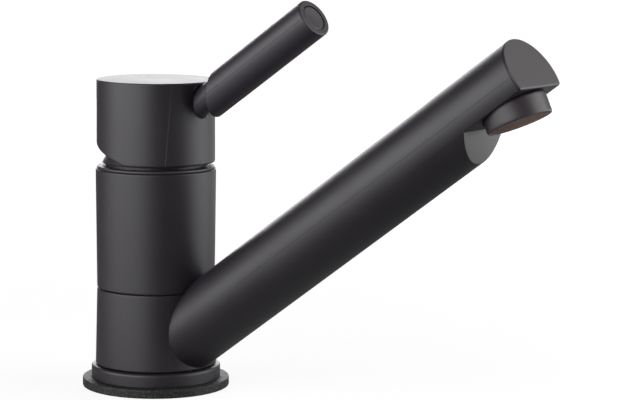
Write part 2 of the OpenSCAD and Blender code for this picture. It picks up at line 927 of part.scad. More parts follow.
module lever_end_plug() {
    color(black) lever_frame()
        soft_ring(0, end_plug_r, end_plug_z, end_plug_z + end_plug_t, end_plug_round);
}

// A headless screw along +Z with a hexagon socket in its lower end
module grub_screw(len) {
    socket_r = 1.45;
    socket_h = 2;
    difference() {
        cylinder(r = screw_r - run, h = len);
        translate([0, 0, -eps]) cylinder(r = socket_r, h = socket_h + eps, $fn = 6);
    }
}

module lever_set_screw() {
    color("silver") translate([set_screw_x, 0, set_screw_top - set_screw_len])
        grub_screw(set_screw_len);
}

module cap_set_screw() {
    color("silver") translate([-stem_w / 2 - slip - cap_screw_len, 0, cap_screw_z])
        rotate([0, 90, 0]) grub_screw(cap_screw_len);
}

module cap_screw_plug() {
    color(black) intersection() {
        translate([0, 0, cap_screw_z]) rotate([0, -90, 0])
            post(screw_plug_r - run, cap_r - screw_plug_t - ease, cap_r + eps);
        post(cap_r - slip, cap_screw_z - cap_r, cap_screw_z + cap_r);
    }
}

deck_gasket();
base_ring();
core_body();
body_shell();
trim_ring();
dome_cover();
cartridge_nut();
cartridge_housing();
cartridge_base();
port_seals();
fixed_disc();
spout_o_rings();
glide_rings();
rubber_washer();
steel_washer();
back_nut();
spout();
spout_end_cap();
outlet_block();
water_pipe();
pipe_o_rings();
aerator_housing();
flow_straightener();
aerator_gauze();
aerator_washer();
moving_disc();
disc_driver();
cartridge_rotor();
pivot_pin();
cartridge_stem();
lever_cap();
lever_rod();
lever_end_plug();
lever_set_screw();
cap_set_screw();
cap_screw_plug();
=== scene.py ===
import json
from math import acos, asin, atan2, cos, pi, radians, sin, sqrt, tan

import bmesh
import bpy
from mathutils import Matrix, Vector, noise


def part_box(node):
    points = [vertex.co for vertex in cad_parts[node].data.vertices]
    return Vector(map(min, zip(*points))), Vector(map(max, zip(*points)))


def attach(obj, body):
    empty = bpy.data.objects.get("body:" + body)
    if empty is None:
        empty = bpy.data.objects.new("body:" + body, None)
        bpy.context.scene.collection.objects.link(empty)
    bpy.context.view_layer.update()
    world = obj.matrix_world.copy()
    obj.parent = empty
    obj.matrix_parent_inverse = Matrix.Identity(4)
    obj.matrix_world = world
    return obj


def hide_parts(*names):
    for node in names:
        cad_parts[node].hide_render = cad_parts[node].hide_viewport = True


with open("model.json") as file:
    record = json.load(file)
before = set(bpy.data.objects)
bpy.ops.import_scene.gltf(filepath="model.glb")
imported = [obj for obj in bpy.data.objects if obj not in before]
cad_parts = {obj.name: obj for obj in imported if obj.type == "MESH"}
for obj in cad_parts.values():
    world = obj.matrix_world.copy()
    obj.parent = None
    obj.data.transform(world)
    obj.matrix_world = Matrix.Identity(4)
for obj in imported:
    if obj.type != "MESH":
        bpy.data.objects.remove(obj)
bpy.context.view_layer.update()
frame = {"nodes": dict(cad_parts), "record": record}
scene = bpy.context.scene

# Angles of the spout, the jet, the lever and the cap's relief, as in the part
SPOUT_ANGLE = radians(35.7)
NOTCH_LEAN = radians(8)
JET_TILT = radians(25)
LEVER_ANGLE = radians(34.4)
RELIEF_ANGLE = radians(18.6)

# Sizes that the boxes of the nodes don't give, in metres
MM = 0.001
SPOUT_AXIS_Z = 10.5 * MM
SPOUT_LENGTH = 207.9 * MM
SPOUT_R = 14.55 * MM
END_PLATE = 0.6 * MM
END_SEAM = 0.2 * MM
NOTCH_ROOF = 5.4 * MM
NOTCH_LENGTH = 28.2 * MM
SLEEVE_TOP_R = 22.95 * MM
SLEEVE_BORE_R = 17.55 * MM
SHELL_FOOT_R = 22.95 * MM
SHELL_BORE_R = 20.6 * MM
SHELL_CLEAR_R = 23.75 * MM
JET_INSET = 13.2 * MM
JET_DROP = 6.2 * MM
AERATOR_R = 12.1 * MM
AERATOR_H = 7.9 * MM
AERATOR_BORE_R = 10.9 * MM
AERATOR_THREAD_R = 9 * MM
AERATOR_FLOOR = 4.9 * MM
AERATOR_STUB = 5 * MM
POCKET_GAP = 0.15 * MM
GAUZE_RISE = 0.3 * MM
GAUZE_R = 10.85 * MM
LEVER_AXIS_Z = 95.9 * MM
LEVER_LENGTH = 91 * MM
LEVER_R = 7.55 * MM
NECK_R = 5.1 * MM
NECK_LIFT = 1.1 * MM
LEVER_FACE_X = 30 * MM
NECK_START = 15.9 * MM
PLUG_R = 5.1 * MM
PLUG_INSET = 0.2 * MM
PLUG_DEPTH = 3 * MM
RELIEF_X = 3 * MM
CHORD_CORNER = 0.45 * MM
SEAM_EDGE = 0.4 * MM
HOLE_CLEARANCE = 0.05 * MM
HOLE_ROUNDING = 0.6 * MM

# Fineness of the round surfaces, and how near two points are to become one
TURN = 256
FILLET_STEPS = 4
SUPPORT = 0.3 * MM
SUPPORT_SHARE = 0.04
ROUNDING_SHARE = 0.45
CAP_ROWS = 12
CHORD_POINTS = 180
SHARP_ANGLE = radians(35)
POINTS_PER_METRE = 1e7
NEAR_DOUBLE = 0.004 * MM


def turn(count):
    """Angles round a full turn."""
    return [2 * pi * i / count for i in range(count)]


def rounded(points):
    """A path whose corners, given as (x, y, radius), are rounded where the radius is over 0."""
    path = []
    for i, (x, y, radius) in enumerate(points):
        corner = Vector((x, y))
        if radius <= 0:
            path.append(corner)
            continue
        back = Vector(points[i - 1][:2]) - corner
        ahead = Vector(points[i + 1][:2]) - corner
        start = corner + back.normalized() * min(radius, ROUNDING_SHARE * back.length)
        end = corner + ahead.normalized() * min(radius, ROUNDING_SHARE * ahead.length)
        # A point close on each side keeps the long faces from taking up the rounding's shading
        path.append(start + back.normalized() * min(SUPPORT, SUPPORT_SHARE * back.length))
        for step in range(FILLET_STEPS + 1):
            s = step / FILLET_STEPS
            path.append(start * (1 - s) ** 2 + corner * 2 * s * (1 - s) + end * s ** 2)
        path.append(end + ahead.normalized() * min(SUPPORT, SUPPORT_SHARE * ahead.length))
    return path


def loft(columns, matrix=Matrix()):
    """A closed mesh from columns of points round a full turn. Points that coincide become one."""
    bm = bmesh.new()
    seen = {}

    def vert(point):
        key = tuple(round(c * POINTS_PER_METRE) for c in point)
        if key not in seen:
            seen[key] = bm.verts.new(matrix @ Vector(point))
        return seen[key]

    grid = [[vert(point) for point in column] for column in columns]
    for i, column in enumerate(grid):
        after = grid[(i + 1) % len(grid)]
        for j in range(len(column) - 1):
            corners = [column[j], after[j], after[j + 1], column[j + 1]]
            face = list(dict.fromkeys(corners))
            if len(face) > 2 and bm.faces.get(face) is None:
                bm.faces.new(face)
    bmesh.ops.recalc_face_normals(bm, faces=bm.faces)
    return bm


def lathe(points, matrix=Matrix(), count=TURN):
    """A turned shape from a path of (radius, height, rounding)."""
    path = rounded(points)
    return loft([[(r * cos(a), r * sin(a), z) for r, z in path] for a in turn(count)], matrix)


def bare_object(name, bm):
    """A mesh object from a bmesh, with smooth faces and crisp edges."""
    mesh = bpy.data.meshes.new(name)
    bm.to_mesh(mesh)
    bm.free()
    mesh.shade_smooth()
    mesh.set_sharp_from_angle(angle=SHARP_ANGLE)
    made = bpy.data.objects.new(name, mesh)
    scene.collection.objects.link(made)
    return made


def piece(name, bm, material, body, slot, *nodes):
    """A piece that stands for CAD nodes and rides on their body."""
    made = bare_object(name, bm)
    made.data.materials.append(material)
    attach(made, body)
    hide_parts(*nodes)
    return made


def cut(target, bm, operation):
    """Applies a boolean between an object and a bmesh."""
    tool = bare_object("tool", bm)
    modifier = target.modifiers.new("cut", "BOOLEAN")
    modifier.operation = operation
    modifier.solver = "EXACT"
    modifier.object = tool
    graph = bpy.context.evaluated_depsgraph_get()
    mesh = bpy.data.meshes.new_from_object(target.evaluated_get(graph))
    target.modifiers.clear()
    target.data = mesh
    bpy.data.objects.remove(tool)


def tidy(target):
    """Merges the near doubles that a boolean leaves and marks the crisp edges again."""
    bm = bmesh.new()
    bm.from_mesh(target.data)
    bmesh.ops.remove_doubles(bm, verts=bm.verts, dist=NEAR_DOUBLE)
    bm.to_mesh(target.data)
    bm.free()
    target.data.shade_smooth()
    target.data.set_sharp_from_angle(angle=SHARP_ANGLE)


def slanted(origin, lean):
    """A frame whose z runs at an angle above +X and whose x points to the underside."""
    return Matrix.Translation(origin) @ Matrix.Rotation(pi / 2 - lean, 4, "Y")


SPOUT_FRAME = slanted((0, 0, SPOUT_AXIS_Z), SPOUT_ANGLE)
LEVER_FRAME = slanted((0, 0, LEVER_AXIS_Z), LEVER_ANGLE)
NECK_FRAME = LEVER_FRAME @ Matrix.Translation((-NECK_LIFT, 0, 0))
jet_t = SPOUT_LENGTH - JET_INSET
roof_point = SPOUT_FRAME @ Vector((NOTCH_ROOF, 0, jet_t))
jet_point = roof_point - JET_DROP * Vector((-sin(JET_TILT), 0, cos(JET_TILT)))
JET_FRAME = Matrix.Translation(jet_point) @ Matrix.Rotation(-JET_TILT, 4, "Y")


# Materials

BLOTCH_SCALE = 55.0
GRAIN_DEPTH = 0.02 * MM
CELL_DEPTH = 0.16 * MM
SEAM_CREST = 0.03 * MM
SEAM_FOOT = 0.17 * MM
SEAM_FADE = 4 * MM
SEAM_RISE = 0.055 * MM
SEAM_STRENGTH = 0.8
COATING = (0.0105, 0.0078, 0.0120)
COATING_ROUGHNESS = (0.44, 0.48)
# The rod's coat colour is multiplied by this, so the rod comes out lighter than the other castings,
# on its shaded underside as well as its lit side
ROD_COAT_FACTOR = 1.7


def new_material(name):
    """An empty material and its nodes, links and principled shader."""
    material = bpy.data.materials.new(name)
    material.use_nodes = True
    nodes = material.node_tree.nodes
    return material, nodes, material.node_tree.links, nodes["Principled BSDF"]


def noise_node(nodes, links, coords, scale, detail=3.0, roughness=0.5):
    """A noise texture in object coordinates."""
    made = nodes.new("ShaderNodeTexNoise")
    made.inputs["Scale"].default_value = scale
    made.inputs["Detail"].default_value = detail
    made.inputs["Roughness"].default_value = roughness
    links.new(coords.outputs["Object"], made.inputs["Vector"])
    return made


def spread(nodes, links, source, low, high, start=0.3, end=0.7):
    """Maps a noise value to a range."""
    made = nodes.new("ShaderNodeMapRange")
    made.inputs["From Min"].default_value = start
    made.inputs["From Max"].default_value = end
    made.inputs["To Min"].default_value = low
    made.inputs["To Max"].default_value = high
    links.new(source, made.inputs["Value"])
    return made.outputs["Result"]


def maths(nodes, links, operation, first, second):
    """A maths node on two values or outputs."""
    made = nodes.new("ShaderNodeMath")
    made.operation = operation
    for socket, value in zip(made.inputs, (first, second)):
        if isinstance(value, (int, float)):
            socket.default_value = value
        else:
            links.new(value, socket)
    return made.outputs[0]


def smooth_map(nodes, links, source, from_min, from_max, to_min, to_max):
    """A smooth step between two levels."""
    made = nodes.new("ShaderNodeMapRange")
    made.interpolation_type = "SMOOTHSTEP"
    made.inputs["From Min"].default_value = from_min
    made.inputs["From Max"].default_value = from_max
    made.inputs["To Min"].default_value = to_min
    made.inputs["To Max"].default_value = to_max
    links.new(source, made.inputs["Value"])
    return made.outputs["Result"]


def two_tone(nodes, links, shader, value, dark, light):
    """Base colour between two tones."""
    ramp = nodes.new("ShaderNodeMix")
    ramp.data_type = "RGBA"
    ramp.inputs["A"].default_value = (*dark, 1)
    ramp.inputs["B"].default_value = (*light, 1)
    links.new(value, ramp.inputs["Factor"])
    links.new(ramp.outputs["Result"], shader.inputs["Base Color"])


def bump(nodes, links, shader, height, strength, distance):
    """Relief from a height value, on top of any relief that the shader has."""
    made = nodes.new("ShaderNodeBump")
    made.inputs["Strength"].default_value = strength
    made.inputs["Distance"].default_value = distance
    links.new(height, made.inputs["Height"])
    if shader.inputs["Normal"].links:
        links.new(shader.inputs["Normal"].links[0].from_socket, made.inputs["Normal"])
    links.new(made.outputs["Normal"], shader.inputs["Normal"])


def along(nodes, links, vector, direction):
    """How far a vector reaches in a direction."""
    made = nodes.new("ShaderNodeVectorMath")
    made.operation = "DOT_PRODUCT"
    made.inputs[1].default_value = direction
    links.new(vector, made.inputs[0])
    return made.outputs["Value"]


def from_origin(nodes, links, vector, origin):
    """A place as seen from another origin."""
    made = nodes.new("ShaderNodeVectorMath")
    made.operation = "SUBTRACT"
    made.inputs[1].default_value = origin
    links.new(vector, made.inputs[0])
    return made.outputs["Vector"]


def level_heading(nodes, links, vector):
    """The level part of a vector, at length 1."""
    flat = nodes.new("ShaderNodeVectorMath")
    flat.operation = "MULTIPLY"
    flat.inputs[1].default_value = (1, 1, 0)
    links.new(vector, flat.inputs[0])
    made = nodes.new("ShaderNodeVectorMath")
    made.operation = "NORMALIZE"
    links.new(flat.outputs["Vector"], made.inputs[0])
    return made.outputs["Vector"]


def mould_line(nodes, links, coords, seam):
    """A ridge where a plane meets the surface, between two distances from its origin."""
    origin, across, outward, start, stop = seam
    spot = from_origin(nodes, links, coords.outputs["Object"], origin)
    aside = maths(nodes, links, "ABSOLUTE", along(nodes, links, spot, across), 0.0)
    ridge = smooth_map(nodes, links, aside, SEAM_CREST, SEAM_FOOT, 1.0, 0.0)
    reach = along(nodes, links, spot, outward)
    begun = smooth_map(nodes, links, reach, start, start + SEAM_FADE, 0.0, 1.0)
    ended = smooth_map(nodes, links, reach, stop - SEAM_FADE, stop, 1.0, 0.0)
    within = maths(nodes, links, "MULTIPLY", begun, ended)
    return maths(nodes, links, "MULTIPLY", ridge, within)


def grained(name, dark, light, rough, grain, relief, metallic=0.0, seams=()):
    """A surface with fine grain, slight blotches of tone, uneven gloss and perhaps mould lines."""
    material, nodes, links, shader = new_material(name)
    coords = nodes.new("ShaderNodeTexCoord")
    fine = noise_node(nodes, links, coords, grain, 4.0, 0.6)
    broad = noise_node(nodes, links, coords, BLOTCH_SCALE)
    two_tone(nodes, links, shader, spread(nodes, links, broad.outputs["Fac"], 0, 1), dark, light)
    gloss = spread(nodes, links, broad.outputs["Fac"], rough[0], rough[1])
    links.new(gloss, shader.inputs["Roughness"])
    bump(nodes, links, shader, fine.outputs["Fac"], relief, GRAIN_DEPTH)
    for seam in seams:
        bump(nodes, links, shader, mould_line(nodes, links, coords, seam), SEAM_STRENGTH, SEAM_RISE)
    shader.inputs["Metallic"].default_value = metallic
    return material


def shades(value, spread_by=0.12):
    """A darker and a lighter tone of one colour."""
    return [c * (1 - spread_by) for c in value], [c * (1 + spread_by) for c in value]


def coated(name, *seams, tone=1.0):
    """The matte black coating of the castings, perhaps with mould lines, its colour perhaps
    multiplied by a factor.
    """
    tones = shades([c * tone for c in COATING])
    return grained(name, *tones, COATING_ROUGHNESS, 5200.0, 0.35, seams=seams)


def flecked(name, dark, fleck, grain):
    """A grainy foam with light flecks."""
    material, nodes, links, shader = new_material(name)
    coords = nodes.new("ShaderNodeTexCoord")
    cells = noise_node(nodes, links, coords, grain, 1.0).outputs["Fac"]
    flecks = smooth_map(nodes, links, cells, 0.5, 0.68, 0.0, 1.0)
    two_tone(nodes, links, shader, flecks, dark, fleck)
    shader.inputs["Roughness"].default_value = 0.6
    shader.inputs["Specular IOR Level"].default_value = 0.35
    bump(nodes, links, shader, cells, 1.0, CELL_DEPTH)
    return material


def axis_seam(slope_frame, start, stop):
    """The mould line of a slanted round bar, on the plane across its upper and lower sides."""
    turned = slope_frame.to_3x3()
    across = turned @ Vector((1, 0, 0))
    return slope_frame.translation, across, turned @ Vector((0, 0, 1)), start, stop


def upright_seam(heading, height, lean, start, stop):
    """The mould line of an upright drum, at a heading round its axis and perhaps leaning."""
    across = Vector((-sin(heading), cos(heading), -lean))
    outward = Vector((cos(heading), sin(heading), 0))
    return Vector((0, 0, height)), across, outward, start, stop


# Tones are linear. After them come the range of roughness, the grain's scale, the strength of its
# relief and the share of metal.
matte_black = coated("matte_black")
spout_black = coated(
    "spout_black",
    axis_seam(SPOUT_FRAME, 60 * MM, 220 * MM),
    upright_seam(radians(322), 0, 0, 10 * MM, 26 * MM),
)
rod_black = coated("rod_black", axis_seam(LEVER_FRAME, 8 * MM, 100 * MM), tone=ROD_COAT_FACTOR)
cap_black = coated("cap_black", upright_seam(radians(320), 98 * MM, 0.08, 10 * MM, 30 * MM))
black_plastic = grained(
    "black_plastic", *shades((0.0260, 0.0200, 0.0245)), (0.42, 0.5), 4200.0, 0.4)
seal_rubber = grained("seal_rubber", *shades((0.012, 0.012, 0.012)), (0.5, 0.62), 2600.0, 0.5)
red_seal = grained("red_seal", *shades((0.33, 0.05, 0.04)), (0.45, 0.55), 2600.0, 0.4)
brass = grained("brass", *shades((0.66, 0.47, 0.2)), (0.26, 0.4), 900.0, 0.3, 1.0)
steel = grained("steel", *shades((0.52, 0.52, 0.53)), (0.24, 0.36), 1500.0, 0.3, 1.0)
white_plastic = grained(
    "white_plastic", *shades((0.72, 0.71, 0.68), 0.04), (0.4, 0.48), 2500.0, 0.25)
grey_plastic = grained("grey_plastic", *shades((0.2, 0.22, 0.25)), (0.42, 0.5), 2500.0, 0.3)
ceramic = grained("ceramic", *shades((0.78, 0.75, 0.68), 0.03), (0.18, 0.25), 1800.0, 0.1)
gauze_metal = grained(
    "gauze_metal", *shades((0.20, 0.135, 0.115), 0.5), (0.35, 0.55), 1500.0, 0.5, 1.0)
foam = flecked("foam", (0.0060, 0.0056, 0.0054), (0.046, 0.044, 0.042), 1700.0)


# Pieces of the base

def make_gasket():
    """The foam gasket, with an open-celled grainy surface."""
    low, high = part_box("deck_gasket")
    top = high.z
    inner_r = 17 * MM
    smooth_r = inner_r * 1.1
    rounding = 0.5 * MM
    spacing = 0.45 * MM
    columns_round = 420
    grain = 0.11 * MM
    grain_share = 0.62
    cell = 0.8 * MM
    path = rounded([
        (inner_r, low.z, 0),
        (high.x - grain, low.z, rounding),
        (high.x - grain, top - grain, rounding),
        (inner_r, top - grain, 0),
    ])
    fine = [path[0]]
    for here, after in zip(path, path[1:]):
        parts = max(1, round((after - here).length / spacing))
        fine += [here.lerp(after, (k + 1) / parts) for k in range(parts)]
    fine.append(fine[0])
    bm = loft([[(r * cos(a), r * sin(a), z) for r, z in fine] for a in turn(columns_round)])
    for v in bm.verts:
        around = Vector((v.co.x, v.co.y, 0))
        if low.z < v.co.z and around.length > smooth_r:
            lift = noise.noise(v.co / cell) + 0.6 * noise.noise(v.co / (cell / 2))
            v.co += (around.normalized() + Vector((0, 0, 1))) * lift * grain * grain_share
            v.co.z = max(v.co.z, low.z)
    return piece("foam_gasket", bm, foam, "base", "foam", "deck_gasket")


def make_base_ring():
    """The low ring on the gasket, with a rounded top edge."""
    low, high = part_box("base_ring")
    inner = 16.1 * MM
    foot_rounding = 0.15 * MM
    top_rounding = 1.2 * MM
    bm = lathe([
        (inner, low.z, 0),
        (high.x, low.z, foot_rounding),
        (high.x, high.z, top_rounding),
        (inner, high.z, 0),
        (inner, low.z, 0),
    ])
    return piece("base_ring_body", bm, matte_black, "base", "matte_black", "base_ring")


def make_shell():
    """The upper body, between the seam over the sleeve and the trim ring."""
    low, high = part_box("body_shell")
    bm = lathe([
        (SHELL_BORE_R, low.z, 0),
        (SHELL_FOOT_R, low.z, SEAM_EDGE),
        (high.x, high.z, SEAM_EDGE),
        (SHELL_BORE_R, high.z, 0),
        (SHELL_BORE_R, low.z, 0),
    ])
    return piece("upper_body", bm, matte_black, "base", "matte_black", "body_shell")


def make_trim():
    """The thin ring with a rounded side on top of the body."""
    low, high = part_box("trim_ring")
    inner = 19.6 * MM
    round_by = (high.z - low.z) / 2
    bm = lathe([
        (inner, low.z, 0),
        (high.x, low.z, round_by),
        (high.x, high.z, round_by),
        (inner, high.z, 0),
        (inner, low.z, 0),
    ])
    return piece("trim_ring_body", bm, black_plastic, "base", "black_plastic", "trim_ring")


def make_dome():
    """The dome under the lever cap: a zone of a ball over a thinner neck."""
    low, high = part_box("dome_cover")
    pivot = 78.1 * MM
    edge_r = high.x
    edge_z = 88 * MM
    ball = sqrt(edge_r ** 2 + (edge_z - pivot) ** 2)
    mouth_r = 14 * MM
    neck_r = 19.4 * MM
    foot = 85.6 * MM
    first = atan2(edge_z - pivot, edge_r)
    last = acos(mouth_r / ball)
    steps = 28
    arc = []
    for i in range(steps + 1):
        angle = first + (last - first) * i / steps
        arc.append((ball * cos(angle), pivot + ball * sin(angle), 0))
    inner = ball - 2 * MM
    inner_last = acos(mouth_r / inner)
    hollow = []
    for i in range(steps + 1):
        angle = inner_last + (asin((edge_z + MM - pivot) / inner) - inner_last) * i / steps
        hollow.append((inner * cos(angle), pivot + inner * sin(angle), 0))
    skirt_in = 16.6 * MM
    skirt_out = 18.75 * MM
    edge = 0.15 * MM
    bm = lathe([
        (skirt_in, low.z, 0),
        (skirt_out, low.z, 0),
        (skirt_out, foot, 0),
        (neck_r, foot, 0.1 * MM),
        (neck_r, edge_z, 0),
        (edge_r - edge, edge_z, 0),
        (edge_r, edge_z + edge, 0),
    ] + arc[1:] + hollow + [
        (skirt_in, edge_z + 2 * MM, 0),
        (skirt_in, low.z, 0),
    ])
    return piece("dome", bm, matte_black, "base", "matte_black", "dome_cover")


# Pieces of the lever

def make_cap():
    """The drum, with a slanted relief at its back and a hole for the lever's neck."""
    low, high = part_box("lever_cap")
    cap_r = high.x
    top = high.z
    cap_z = low.z
    bore = 21.3 * MM
    ceiling = top - 3 * MM
    last_row = top - 1.3 * MM
    foot_margin = 2.1 * MM
    foot_rounding = 0.9 * MM
    top_rounding = 0.55 * MM
    bore_rounding = 0.5 * MM
    bore_edge = 0.15 * MM

    columns = []
    for a in turn(TURN * 2):
        def foot(r):
            return cap_z + max(0, RELIEF_X - r * cos(a)) * tan(RELIEF_ANGLE)

        # Rows up the side keep its shading even between the two roundings
        first_row = foot(cap_r) + foot_margin
        path = rounded([
            (0, ceiling, 0),
            (bore, ceiling, bore_rounding),
            (bore, foot(bore), bore_edge),
            (cap_r, foot(cap_r), foot_rounding),
            *[(cap_r, first_row * (1 - k / CAP_ROWS) + last_row * k / CAP_ROWS, 0)
              for k in range(CAP_ROWS + 1)],
            (cap_r, top, top_rounding),
            (0, top, 0),
        ])
        columns.append([(r * cos(a), r * sin(a), z) for r, z in path])
    made = piece("cap_drum", loft(columns), cap_black, "lever", "matte_black", "lever_cap")
    hole_r = NECK_R + HOLE_CLEARANCE
    hole_start = 14 * MM
    hole_end = 60 * MM
    cut(made, lathe([
        (0, hole_start, 0),
        (hole_r, hole_start, 0),
        (hole_r, hole_end, 0),
        (0, hole_end, 0),
    ], NECK_FRAME, 128), "DIFFERENCE")
    tidy(made)
    round_hole(made, hole_r, HOLE_ROUNDING)
    return made


def round_hole(target, hole_r, width):
    """Rounds the outer rim of the hole for the lever's neck."""
    bm = bmesh.new()
    bm.from_mesh(target.data)
    axis = NECK_FRAME.inverted()
    tolerance = 0.03 * MM
    outer_side = 22 * MM
    least_bend = radians(15)
    rim = []
    for edge in bm.edges:
        ends = [axis @ v.co for v in edge.verts]
        near = all(abs(Vector((p.x, p.y)).length - hole_r) < tolerance for p in ends)
        outside = all(Vector((v.co.x, v.co.y)).length > outer_side for v in edge.verts)
        if near and outside and len(edge.link_faces) == 2 and edge.calc_face_angle() > least_bend:
            rim.append(edge)
    bmesh.ops.bevel(bm, geom=rim, offset=width, segments=4, profile=0.5, affect="EDGES")
    bm.to_mesh(target.data)
    bm.free()
    target.data.shade_smooth()
    target.data.set_sharp_from_angle(angle=SHARP_ANGLE)


def make_rod():
    """The lever rod, with a plumb face at its lower end and a neck on a slightly higher axis."""
    recess = PLUG_R + 0.16 * MM
    floor = LEVER_LENGTH - PLUG_INSET - PLUG_DEPTH
    middle = LEVER_LENGTH / 2
    neck_edge = 0.2 * MM
    neck_root = 0.15 * MM
    face_rounding = 0.5 * MM
    end_rounding = 0.68 * MM
    recess_edge = 0.12 * MM
    columns = []
    for a in turn(TURN):
        def lift(r):
            return NECK_LIFT * min(1, max(0, (LEVER_R - r) / (LEVER_R - NECK_R)))

        def face(r):
            return (LEVER_FACE_X - (r * cos(a) - lift(r)) * sin(LEVER_ANGLE)) / cos(LEVER_ANGLE)

        lower = rounded([
            (0, NECK_START, 0),
            (NECK_R, NECK_START, neck_edge),
            (NECK_R, face(NECK_R), neck_root),
            (LEVER_R, face(LEVER_R), face_rounding),
            (LEVER_R, middle, 0),
        ])
        upper = rounded([
            (LEVER_R, middle, 0),
            (LEVER_R, LEVER_LENGTH, end_rounding),
            (recess, LEVER_LENGTH, recess_edge),
            (recess, floor, 0),
            (0, floor, 0),
        ])
        column = [(r * cos(a) - lift(r), r * sin(a), t) for r, t in lower]
        column += [(r * cos(a), r * sin(a), t) for r, t in upper[1:]]
        columns.append(column)
    bm = loft(columns, LEVER_FRAME)
    return piece("lever_bar", bm, rod_black, "lever", "matte_black", "lever_rod")


def make_plug():
    """The plug in the rod's end, slightly dished."""
    top = LEVER_LENGTH - PLUG_INSET
    edge = 0.5 * MM
    dish_r = PLUG_R * 0.72
    dish = 0.25 * MM
    bm = lathe([
        (0, top - PLUG_DEPTH, 0),
        (PLUG_R, top - PLUG_DEPTH, 0),
        (PLUG_R, top, edge),
        (dish_r, top - dish / 5, edge),
        (0, top - dish, 0),
    ], LEVER_FRAME, 128)
    return piece("rod_plug", bm, black_plastic, "lever", "black_plastic", "lever_end_plug")


# Pieces of the spout

def d_outline(radius, chord, corner, count):
    """Half of a circle cut by a chord on its +x side, with a rounded corner, as points (x, y)."""
    inner = radius - corner
    reach = sqrt(inner ** 2 - (chord - corner) ** 2)
    swing = atan2(reach, chord - corner)
    side = []
    arc_steps = count // 2
    corner_steps = 6
    chord_steps = count // 6
    for i in range(arc_steps + 1):
        angle = pi - (pi - swing) * i / arc_steps
        side.append((radius * cos(angle), radius * sin(angle)))
    for i in range(1, corner_steps + 1):
        angle = swing * (1 - i / corner_steps)
        side.append((chord - corner + corner * cos(angle), reach + corner * sin(angle)))
    for i in range(1, chord_steps + 1):
        side.append((chord, reach * (1 - i / chord_steps)))
    return side


def whole_turn(half):
    """A half outline from -x round to +x, completed by its mirror image."""
    return half + [(x, -y) for x, y in reversed(half[1:-1])]


def make_spout():
    """The sleeve and the tube with its notch, as one casting."""
    low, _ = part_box("spout")
    sleeve_foot_r = -low.x
    sleeve_top = 38.9 * MM
    tube_end = SPOUT_LENGTH - END_PLATE - END_SEAM
    notch_t = SPOUT_LENGTH - NOTCH_LENGTH
    slope = tan(SPOUT_ANGLE + NOTCH_LEAN)
    start_r = 20 * MM
    start_z = low.z + 0.25 * MM
    lip_width = 0.35 * MM
    lip_share = 0.3
    plain_width = 0.4 * MM
    row_shares = (0.25, 0.5, 0.75)
    lip_steps = (0.0, *row_shares, 1.0)

    end_outline = whole_turn(d_outline(SPOUT_R, NOTCH_ROOF, CHORD_CORNER, CHORD_POINTS))
    columns = []
    for x, y in end_outline:
        # The same column on the round tube: the chord's points move out to the circle
        angle = atan2(y, x)
        on_circle = Vector((cos(angle), sin(angle)))
        px = on_circle.x * SPOUT_R
        py = on_circle.y * SPOUT_R
        wall_t = notch_t - max(0, px - NOTCH_ROOF) * slope
        begin = (sqrt(start_r ** 2 - py ** 2) - px * sin(SPOUT_ANGLE)) / cos(SPOUT_ANGLE)
        lowest = (start_z - SPOUT_AXIS_Z + px * cos(SPOUT_ANGLE)) / sin(SPOUT_ANGLE)
        begin = max(begin, lowest)
        lip = min(lip_width, lip_share * Vector((px - x, py - y)).length)
        column = [(px, py, begin)]
        for share in row_shares:
            t = begin + (wall_t - begin) * share
            column.append((px, py, t))
        if x >= NOTCH_ROOF - CHORD_CORNER:
            # Rounded lip, then down the back wall to the roof
            inward = Vector((x - px, y - py, notch_t - wall_t))
            inward = inward.normalized() if inward.length > 0 else Vector((0, 0, 1))
            edge = Vector((px, py, wall_t))
            for s in lip_steps:
                before = edge - Vector((0, 0, lip))
                after = edge + inward * lip
                spot = before * (1 - s) ** 2 + edge * 2 * s * (1 - s) + after * s ** 2
                column.append(tuple(spot))
        else:
            for s in lip_steps:
                column.append((px, py, wall_t - plain_width * (1 - s)))
        column.append((x, y, notch_t))
        column.append((x, y, tube_end))
        column.append((-NOTCH_ROOF, 0, tube_end))
        column.insert(0, (0, 0, (start_r + 1 * MM) / cos(SPOUT_ANGLE)))
        columns.append(column)
    tube = loft(columns, SPOUT_FRAME)
    made = piece("spout_casting", tube, spout_black, "spout", "matte_black", "spout")
    clear_top = sleeve_top + 30 * MM
    cut(made, lathe([
        (0, sleeve_top, 0),
        (SHELL_CLEAR_R, sleeve_top, 0),
        (SHELL_CLEAR_R, clear_top, 0),
        (0, clear_top, 0),
    ]), "DIFFERENCE")
    cut(made, lathe([
        (SLEEVE_BORE_R, low.z, 0),
        (sleeve_foot_r, low.z, SEAM_EDGE),
        (SLEEVE_TOP_R, sleeve_top, SEAM_EDGE),
        (SLEEVE_BORE_R, sleeve_top, 0),
        (SLEEVE_BORE_R, low.z, 0),
    ]), "UNION")
    pocket_r = AERATOR_R + 0.4 * MM
    pocket_top = AERATOR_H + POCKET_GAP
    stub_r = AERATOR_THREAD_R + HOLE_CLEARANCE
    stub_hole_top = pocket_top + 1 * MM
    cut(made, lathe([
        (0, 0, 0),
        (pocket_r, 0, 0),
        (pocket_r, pocket_top, 0),
        (stub_r, pocket_top, 0),
        (stub_r, stub_hole_top, 0),
        (0, stub_hole_top, 0),
    ], JET_FRAME, 128), "DIFFERENCE")
    tidy(made)
    return made


